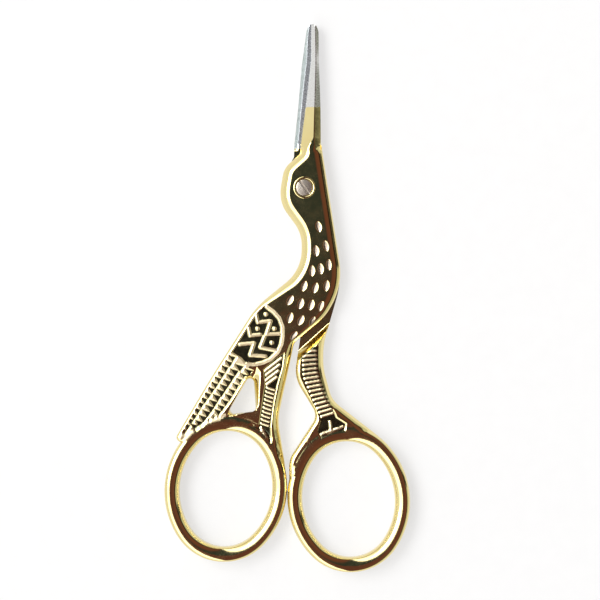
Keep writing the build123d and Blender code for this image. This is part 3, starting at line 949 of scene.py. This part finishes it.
def half_mesh(name, half, top, bottom, box, top_creases, bottom_creases, bore):
    """Mesh of one half: upper and lower surface, the wall between them, and its bore."""
    def domain(x, y):
        return half.fields(x, y).domain

    def reach(x, y):
        offset = np.abs(ring_offset(x, y, half.side))
        by_ring = 1 - smooth_step(1.7, 2.7, offset)
        plain = edge_radius(x, y)
        plain = plain + (0.45 - plain) * smooth_step(7.5, 10.5, y)
        return plain + (band_width / 2 - plain) * by_ring

    def share(x, y):
        return domain(x, y) / reach(x, y)

    xs = np.arange(box[0] - 1, box[2] + 1, search_step)
    ys = np.arange(box[1] - 1, box[3] + 1, search_step)
    grid_x, grid_y = np.meshgrid(xs, ys)
    values = domain(grid_x.ravel(), grid_y.ravel())
    shares = (values / reach(grid_x.ravel(), grid_y.ravel())).reshape(grid_x.shape)
    values = values.reshape(grid_x.shape)
    origin = (xs[0], ys[0])
    outer = []
    for loop in contours(values, 0.0, origin, search_step):
        loop = settle(resample(loop, line_spacing), domain, 0.0)
        ahead = loop[1] - loop[0]
        test = (loop[0] + loop[1]) / 2 + 0.03 * np.array([-ahead[1], ahead[0]]) / np.hypot(*ahead)
        if domain(test[:1], test[1:])[0] < 0:
            loop = loop[::-1]
        outer.append(loop)
    rows = {}
    for level in rounding_levels:
        found = [settle(resample(loop, line_spacing), share, level)
                 for loop in contours(shares, level, origin, search_step)]
        rows[level] = np.vstack(found) if found else np.zeros((0, 2))
    crest = ring_line(half.side)

    def surface(levels, lattice, bore_size, creases, bore_rows):
        spread = hex_points(box, lattice)
        inside = share(spread[:, 0], spread[:, 1])
        near_ring = np.abs(ring_offset(spread[:, 0], spread[:, 1], half.side)) < 1.75
        spread = spread[(inside > max(levels) + 0.6 * lattice) & ~near_ring]
        loose = np.vstack([rows[level] for level in levels] + [crest, spread])
        loose = loose[np.hypot(loose[:, 0], loose[:, 1]) > max([bore_size] + bore_rows) + 0.06]
        for line in creases:
            loose = loose[line_distance(loose[:, 0], loose[:, 1], line) >= 0.05]
        loose = np.vstack([loose] + [circle(radius, bore_count) for radius in bore_rows])

        def keep(x, y):
            return np.minimum(domain(x, y), np.hypot(x, y) - bore_size)

        return Sheet(outer + [circle(bore_size, bore_count)[::-1]], loose, creases, keep)

    on_front = half.side < 0
    top_lattice = front_lattice if on_front else back_lattice
    top_sheet = surface(rounding_levels, top_lattice, bore.top, top_creases, bore.rows)
    bottom_levels = plain_levels if on_front else rounding_levels
    bottom_sheet = surface(bottom_levels, bottom_lattice, bore.bottom, bottom_creases, [])
    top_height, dark, painted_light = top(top_sheet.points[:, 0], top_sheet.points[:, 1])
    bottom_height = bottom(bottom_sheet.points[:, 0], bottom_sheet.points[:, 1])
    shift = len(top_height)
    points = [np.column_stack([sheet.points, height])
              for sheet, height in ((top_sheet, top_height), (bottom_sheet, bottom_height))]
    faces = [list(map(int, face)) for face in top_sheet.faces]
    faces += [[int(v) + shift for v in face[::-1]] for face in bottom_sheet.faces]
    for upper, lower in zip(top_sheet.rows[:-1], bottom_sheet.rows[:-1]):
        faces += wall_faces(upper, lower + shift)
    total = shift + len(bottom_height)
    upper = top_sheet.rows[-1]
    hole = circle(1.0, bore_count)[::-1]
    for radius, height in bore.steps:
        ids = np.arange(total, total + bore_count)
        points.append(np.column_stack([hole * radius, np.full(bore_count, height)]))
        faces += wall_faces(upper, ids)
        upper = ids
        total += bore_count
    faces += wall_faces(upper, bottom_sheet.rows[-1] + shift)
    # Painted shade and painted light go into the mesh as point attributes
    layers = {}
    for layer_name, values in (("dark", dark), ("painted_light", painted_light)):
        layers[layer_name] = np.concatenate([values, np.zeros(total - shift)])
    creased = [(row, 0) for row in top_sheet.crease_rows] + [(row, shift) for row in bottom_sheet.crease_rows]
    sharp = set()
    for row, offset in creased:
        for start, end in zip(row[:-1], row[1:]):
            sharp.add((min(start, end) + offset, max(start, end) + offset))
    return make_object(name, np.vstack(points), faces, layers, sharp)


def wall_faces(upper, lower):
    """Faces between two closed rows of equal count, with the body on the left of the rows."""
    upper_next, lower_next = np.roll(upper, -1), np.roll(lower, -1)
    return [list(map(int, face)) for face in zip(upper, lower, lower_next, upper_next)]


def make_object(name, points, faces, layers, sharp):
    """Mesh object in metres, smooth except at its creases."""
    used = np.zeros(len(points), bool)
    for face in faces:
        used[face] = True
    new = np.cumsum(used) - 1
    faces = [[int(new[v]) for v in face] for face in faces]
    sharp = {(int(new[a]), int(new[b])) for a, b in sharp}
    points = points[used]
    mesh = bpy.data.meshes.new(name)
    mesh.from_pydata([tuple(p) for p in points * to_metres], [], faces)
    for layer_name, values in layers.items():
        layer = mesh.attributes.new(layer_name, "FLOAT", "POINT")
        layer.data.foreach_set("value", values[used].astype(np.float32))
    mesh.shade_smooth()
    mesh.set_sharp_from_angle(angle=math.radians(50))
    if sharp:
        ends = np.zeros(len(mesh.edges) * 2, np.int32)
        mesh.edges.foreach_get("vertices", ends)
        ends = np.sort(ends.reshape(-1, 2), axis=1)
        marks = np.zeros(len(mesh.edges), bool)
        mesh.edges.foreach_get("use_edge_sharp", marks)
        for number, pair in enumerate(map(tuple, ends)):
            if pair in sharp:
                marks[number] = True
        mesh.edges.foreach_set("use_edge_sharp", marks)
    item = bpy.data.objects.new(name, mesh)
    bpy.context.scene.collection.objects.link(item)
    return item


def screw_mesh():
    """Slotted screw: domed head with a rounded rim, shoulder, and threaded end."""
    count = bore_count
    c, s = turn(slot_angle)

    def top(x, y):
        radius = np.hypot(x, y)
        height = outer_face - head_dome * (radius / screw_head_radius) ** 2 * 0.6
        height = height - rounding(screw_head_radius - radius, 0.16)
        across = np.abs(-s * x + c * y)
        inside = smooth_step(slot_width / 2 + 0.03, slot_width / 2 - 0.03, across)
        wall = np.where(across < slot_width / 2 + 0.03, inside, 0)
        return height + (outer_face - slot_depth - height) * wall

    edge = circle(screw_head_radius, count)
    loose = hex_points((-1.75, -1.75, 1.75, 1.75), 0.07)
    loose = loose[np.hypot(loose[:, 0], loose[:, 1]) < screw_head_radius - 0.18]
    rings = [circle(screw_head_radius - inset, count) for inset in (0.01, 0.03, 0.06, 0.1, 0.15)]
    lines = []
    for side in (-1, 1):
        for shift in (-0.03, 0.03):
            across = side * (slot_width / 2 + shift)
            along = np.linspace(-1.55, 1.55, 60)
            lines.append(np.stack([c * along - s * across, s * along + c * across], 1))
    for line in lines:
        loose = loose[line_distance(loose[:, 0], loose[:, 1], line) > 0.03]
    loose = np.vstack([loose] + rings)

    def keep(x, y):
        return screw_head_radius - np.hypot(x, y)

    sheet = Sheet([edge], loose, lines, keep)
    points = [np.column_stack([sheet.points, top(sheet.points[:, 0], sheet.points[:, 1])])]
    faces = [list(map(int, face)) for face in sheet.faces]
    total = len(sheet.points)
    upper = sheet.rows[0]
    head_bottom = outer_face - screw_head_thickness
    profile = [(screw_head_radius, head_bottom + 0.05), (screw_head_radius - 0.05, head_bottom),
               (shoulder_radius, head_bottom), (shoulder_radius, back_inner_face + 0.05),
               (shoulder_radius - 0.05, back_inner_face), (thread_radius, back_inner_face)]
    for number in range(thread_turns):
        level = back_inner_face - thread_start - number * thread_pitch
        profile += [(thread_radius, level + thread_depth), (thread_radius - thread_depth, level),
                    (thread_radius, level - thread_depth)]
    profile += [(thread_radius, end_recess + thread_depth), (thread_radius - thread_depth, end_recess)]
    unit = circle(1.0, count)
    for radius, height in profile:
        ids = np.arange(total, total + count)
        points.append(np.column_stack([unit * radius, np.full(count, height)]))
        faces += wall_faces(upper, ids)
        upper = ids
        total += count
    faces.append([int(v) for v in upper[::-1]])
    return make_object("slotted_screw", np.vstack(points), faces, {}, set())


front_way, back_way = 1, -1
head_seat = outer_face - screw_head_thickness - running_clearance
front = half_mesh(
    "front_forging", front_half, front_top, front_bottom, (-29.5, -78.6, 8.0, 34.5),
    blade_creases(front_blade_shares, front_way), [break_crease(front_blade_shares, front_way, 12.0)],
    SimpleNamespace(top=bore_radius, bottom=hinge_radius,
                    steps=[(bore_radius, head_seat), (hinge_radius, head_seat)],
                    rows=[1.9, 1.95, 2.01, 2.08, 2.15, 2.21, 2.26, 2.29, 2.34]))
back = half_mesh(
    "back_forging", back_half, back_top, back_bottom, (-4.8, -80.8, 22.4, 34.5),
    [break_crease(back_blade_shares, back_way, 9.0)], blade_creases(back_blade_shares, back_way),
    SimpleNamespace(top=thread_radius, bottom=thread_radius, steps=[], rows=[]))
screw = screw_mesh()


def join_inputs(tree, node, inputs):
    """Set a node's inputs to values, or join them to other nodes' outputs."""
    for key, source in inputs.items():
        if isinstance(source, (int, float, tuple)):
            node.inputs[key].default_value = source
        else:
            tree.links.new(source, node.inputs[key])


def node_of(tree, kind, inputs=None, **settings):
    """New shader node with its settings and its inputs."""
    node = tree.nodes.new(kind)
    for key, value in settings.items():
        setattr(node, key, value)
    join_inputs(tree, node, inputs or {})
    return node


def maths(tree, operation, first, second=0.0, clamp=False):
    """Result of a calculation on values."""
    inputs = {0: first, 1: second}
    return node_of(tree, "ShaderNodeMath", inputs, operation=operation, use_clamp=clamp).outputs[0]


def scaled(tree, value, from_low, from_high, to_low, to_high, smooth=False):
    """Value carried from one range to another."""
    inputs = {"Value": value, "From Min": from_low, "From Max": from_high,
              "To Min": to_low, "To Max": to_high}
    kind = "SMOOTHSTEP" if smooth else "LINEAR"
    return node_of(tree, "ShaderNodeMapRange", inputs, interpolation_type=kind).outputs["Result"]


def noise(tree, place, scale, detail=3.0, roughness=0.5, stretch=None):
    """Noise over the object, stretched along one way if wanted."""
    if stretch is not None:
        place = node_of(tree, "ShaderNodeMapping", {"Vector": place, "Scale": stretch}).outputs["Vector"]
    inputs = {"Vector": place, "Scale": scale, "Detail": detail, "Roughness": roughness}
    return node_of(tree, "ShaderNodeTexNoise", inputs).outputs["Fac"]


def mixed_colour(tree, share, first, second):
    """Colour between two others."""
    inputs = {"Factor": share, "A": first, "B": second}
    return node_of(tree, "ShaderNodeMix", inputs, data_type="RGBA").outputs["Result"]


def bumped(tree, height, strength, distance, normal=None):
    """Normal of a finely uneven surface."""
    inputs = {"Strength": strength, "Distance": distance, "Height": height}
    if normal is not None:
        inputs["Normal"] = normal
    return node_of(tree, "ShaderNodeBump", inputs).outputs["Normal"]


def start_material(name):
    """Material with an empty tree: its tree, its surface shader and the place over the object."""
    material = bpy.data.materials.new(name)
    material.use_nodes = True
    tree = material.node_tree
    tree.nodes.clear()
    shader = node_of(tree, "ShaderNodeBsdfPrincipled")
    node_of(tree, "ShaderNodeOutputMaterial", {"Surface": shader.outputs["BSDF"]})
    place = node_of(tree, "ShaderNodeTexCoord").outputs["Object"]
    return material, tree, shader, place


gold_pale = (0.86, 0.74, 0.37, 1.0)
gold_deep = (0.78, 0.62, 0.26, 1.0)
steel_colour = (0.70, 0.70, 0.68, 1.0)
# Painted shade: near-black colour for the sunk grounds and the back blade's spine bevel
painted_shade_colour = (0.042, 0.060, 0.042, 1.0)
# Painted highlight: pale gold laid on raised strokes, rims and bars so that they read bright
painted_highlight_colour = (0.97, 0.83, 0.54, 1.0)
# Painted shade: dim colour for the feather pits, so the lamp's reflection in them reads less bright
feather_shade_colour = (0.24, 0.195, 0.155, 1.0)
inner_steel_colour = (0.60, 0.635, 0.67, 1.0)
screw_pale = (0.62, 0.57, 0.50, 1.0)
screw_deep = (0.42, 0.36, 0.30, 1.0)
table_colours = [(0.90, 0.90, 0.90, 1.0), (0.93, 0.93, 0.93, 1.0)]
black = (0.0, 0.0, 0.0, 1.0)

# Borders of the gilding, in metres: along the blades, and the inner faces between the halves
gilding_end = 0.0169
inner_bare_start = 0.0083
inner_bare_low = 0.00168
inner_bare_high = 0.00226


def gilded_material():
    """Bright gilding over steel, worn at its border on the blades, with painted shade in the sunk grounds, on
    the back blade's spine bevel and in the feather pits, and a painted highlight on raised metal.
    """
    material, tree, shader, place = start_material("gilded_steel")
    separate = node_of(tree, "ShaderNodeSeparateXYZ", {0: place})
    border_noise = noise(tree, place, 900.0, 4.0)
    height = maths(tree, "ADD", separate.outputs["Y"], maths(tree, "MULTIPLY", border_noise, 0.0006))
    bare = scaled(tree, height, gilding_end + 0.00015, gilding_end + 0.00045, 0.0, 1.0, True)
    past_head = maths(tree, "GREATER_THAN", separate.outputs["Y"], inner_bare_start)
    above = maths(tree, "GREATER_THAN", separate.outputs["Z"], inner_bare_low)
    below = maths(tree, "LESS_THAN", separate.outputs["Z"], inner_bare_high)
    inner = maths(tree, "MULTIPLY", maths(tree, "MULTIPLY", above, below), past_head)
    bare = maths(tree, "MAXIMUM", bare, inner)
    cloud = noise(tree, place, 140.0, 4.0, 0.6)
    gold = mixed_colour(tree, scaled(tree, cloud, 0.3, 0.7, 0.0, 0.5), gold_pale, gold_deep)
    metal = mixed_colour(tree, bare, gold, steel_colour)
    metal = mixed_colour(tree, inner, metal, inner_steel_colour)
    # Painted highlight up to 1 on raised metal; above 1 the feather pits take painted shade
    marks = node_of(tree, "ShaderNodeAttribute", attribute_name="painted_light").outputs["Fac"]
    painted_light = maths(tree, "MINIMUM", marks, 1.0)
    metal = mixed_colour(tree, painted_light, metal, painted_highlight_colour)
    metal = mixed_colour(tree, maths(tree, "SUBTRACT", marks, 1.0, clamp=True), metal, feather_shade_colour)
    # Painted shade in the sunk grounds and on the back blade's spine bevel, mottled by noise
    layer = node_of(tree, "ShaderNodeAttribute", attribute_name="dark")
    shade_mottle = scaled(tree, noise(tree, place, 1500.0, 3.0), 0.3, 0.7, 0.85, 1.0)
    shade_share = maths(tree, "MULTIPLY", layer.outputs["Fac"], shade_mottle)
    colour = mixed_colour(tree, maths(tree, "MULTIPLY", shade_share, 0.97), metal, painted_shade_colour)
    ground = noise(tree, place, 60.0, 3.0, 0.6, (30.0, 300.0, 30.0))
    rough_gold = scaled(tree, noise(tree, place, 420.0, 5.0, 0.65), 0.3, 0.75, 0.07, 0.16)
    rough_steel = scaled(tree, ground, 0.3, 0.7, 0.20, 0.34)
    rougher = maths(tree, "SUBTRACT", rough_steel, rough_gold)
    rough = maths(tree, "ADD", rough_gold, maths(tree, "MULTIPLY", bare, rougher))
    rough = maths(tree, "ADD", rough, maths(tree, "MULTIPLY", shade_share, 0.08))
    rough = maths(tree, "ADD", rough, maths(tree, "MULTIPLY", painted_light, 0.24))
    wavy = bumped(tree, noise(tree, place, 320.0, 2.0), 0.35, 0.00006)
    grain = bumped(tree, noise(tree, place, 5000.0, 3.0), 0.20, 0.00001, wavy)
    lines = bumped(tree, maths(tree, "MULTIPLY", ground, bare), 0.25, 0.00003, grain)
    join_inputs(tree, shader, {"Base Color": colour, "Metallic": 1.0, "Roughness": rough, "Normal": lines})
    return material


def screw_material():
    """Turned steel with fine rings, a little rough."""
    material, tree, shader, place = start_material("screw_steel")
    cloud = noise(tree, place, 900.0, 4.0, 0.6)
    colour = mixed_colour(tree, scaled(tree, cloud, 0.3, 0.7, 0.0, 1.0), screw_pale, screw_deep)
    rings = node_of(tree, "ShaderNodeTexWave", {"Vector": place, "Scale": 3500.0, "Distortion": 1.2},
                    wave_type="RINGS", rings_direction="Z")
    rough = scaled(tree, cloud, 0.25, 0.75, 0.22, 0.42)
    turned = bumped(tree, rings.outputs["Fac"], 0.2, 0.00001)
    join_inputs(tree, shader, {"Base Color": colour, "Metallic": 1.0, "Roughness": rough, "Normal": turned})
    return material


floor_glow = 0.74


def floor_material():
    """Pale table that glows a little for the camera and in reflections."""
    material, tree, shader, place = start_material("pale_table")
    grain = noise(tree, place, 300.0, 4.0)
    colour = mixed_colour(tree, grain, *table_colours)
    rays = node_of(tree, "ShaderNodeLightPath")
    seen = maths(tree, "MAXIMUM", rays.outputs["Is Camera Ray"], rays.outputs["Is Glossy Ray"])
    seen = maths(tree, "MAXIMUM", seen, rays.outputs["Is Transmission Ray"])
    glow = maths(tree, "MULTIPLY", seen, floor_glow)
    join_inputs(tree, shader, {
        "Base Color": mixed_colour(tree, glow, colour, black), "Roughness": 0.7, "Specular IOR Level": 0.0,
        "Emission Color": colour, "Emission Strength": glow})
    return material


gilded = gilded_material()
for piece, body, node, slot_name in ((front, "front", "front_half", "gilded_steel"),
                                     (back, "back", "back_half", "gilded_steel")):
    piece.data.materials.append(gilded)
    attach(piece, body)
    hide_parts(node)
screw.data.materials.append(screw_material())
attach(screw, "back")
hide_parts("pivot_screw")

# Floor
floor_mesh = bpy.data.meshes.new("table")
half_floor = 2.0
floor_mesh.from_pydata([(-half_floor, -half_floor, 0), (half_floor, -half_floor, 0),
                        (half_floor, half_floor, 0), (-half_floor, half_floor, 0)], [], [(0, 1, 2, 3)])
table = bpy.data.objects.new("table", floor_mesh)
bpy.context.scene.collection.objects.link(table)
table.location.z = -0.0001
floor_mesh.materials.append(floor_material())

# Light of the sky by lean in degrees, from -90 on the left to 90 on the right: bright on the left, a
# colour of its own overhead (None), red-brown and then black on the right, and pale or dark at its edge
sky_stops = [
    (-90, (0.93, 0.93, 0.93)), (-60, (0.93, 0.93, 0.93)), (-51, (0.98, 0.98, 0.98)), (-46, (2.3, 2.3, 2.3)),
    (-13, (2.3, 2.3, 2.3)), (-9, None), (5, None), (14, (0.15, 0.055, 0.045)), (38, (0.16, 0.07, 0.05)),
    (45, (0.012, 0.010, 0.010)), (51, (0.012, 0.010, 0.010)), (60, "edge"), (90, "edge"),
]
right_edge = (0.68, 0.70, 0.58)
flag_edge = (0.085, 0.085, 0.065)
overhead_north = (0.030, 0.040, 0.042)
overhead_south = (0.12, 0.045, 0.040)
sky_peak = 3.0


def sky_ramp(tree, share, overhead, edge):
    """Light of the sky by lean to the left or right, with its own colours overhead and low on the right."""
    ramp = node_of(tree, "ShaderNodeValToRGB", {0: share})
    stops = ramp.color_ramp.elements
    while len(stops) < len(sky_stops):
        stops.new(0.5)
    for stop, (angle, colour) in zip(stops, sky_stops):
        stop.position = (angle + 90) / 180
    for stop, (angle, colour) in zip(stops, sky_stops):
        if colour == "edge":
            colour = edge
        stop.color = tuple(value / sky_peak for value in colour or overhead) + (1.0,)
    return ramp.outputs[0]


def make_sky():
    """Sky whose light depends on how far a direction leans to the left or right."""
    world = bpy.data.worlds.new("studio")
    bpy.context.scene.world = world
    world.use_nodes = True
    tree = world.node_tree
    tree.nodes.clear()
    place = node_of(tree, "ShaderNodeTexCoord").outputs["Generated"]
    separate = node_of(tree, "ShaderNodeSeparateXYZ", {0: place})
    lean = maths(tree, "ARCTAN2", separate.outputs["X"], separate.outputs["Z"])
    share = scaled(tree, lean, -math.pi / 2, math.pi / 2, 0.0, 1.0)
    patches = scaled(tree, noise(tree, place, 28.0, 3.0), 0.3, 0.7, -0.06, 0.06)
    south = scaled(tree, maths(tree, "ADD", separate.outputs["Y"], patches), -0.005, -0.05, 0.0, 1.0, True)
    sky = mixed_colour(tree, south, sky_ramp(tree, share, overhead_north, right_edge),
                       sky_ramp(tree, share, overhead_south, right_edge))
    flag = maths(tree, "MULTIPLY", scaled(tree, separate.outputs["Y"], 0.05, 0.10, 0.0, 1.0, True),
                 scaled(tree, separate.outputs["Y"], 0.30, 0.20, 0.0, 1.0, True))
    sky = mixed_colour(tree, flag, sky, sky_ramp(tree, share, overhead_north, flag_edge))
    background = node_of(tree, "ShaderNodeBackground", {"Color": sky, "Strength": sky_peak})
    node_of(tree, "ShaderNodeOutputWorld", {0: background.outputs[0]})


make_sky()

# Soft lamp over the upper left, which gives the shadow on the lower right
lamp_data = bpy.data.lights.new("softbox", "AREA")
lamp_data.shape = "RECTANGLE"
lamp_data.size = 0.5
lamp_data.size_y = 0.7
lamp_data.energy = 9.0
lamp = bpy.data.objects.new("softbox", lamp_data)
bpy.context.scene.collection.objects.link(lamp)
lamp.location = (-0.62, 0.25, 0.9)
lamp.rotation_euler = (math.radians(-14), math.radians(-35), 0)

# Camera straight above, as in the photograph
camera_data = bpy.data.cameras.new("camera")
camera = bpy.data.objects.new("camera", camera_data)
bpy.context.scene.collection.objects.link(camera)
camera_height = 0.42
frame_width = 0.126
camera.location = (-0.0009, -0.0235, camera_height)
camera_data.sensor_width = 36.0
camera_data.lens = camera_data.sensor_width * (camera_height - middle_level * to_metres) / frame_width
camera_data.clip_start = 0.01
bpy.context.scene.camera = camera
bpy.context.scene.view_settings.view_transform = "Standard"
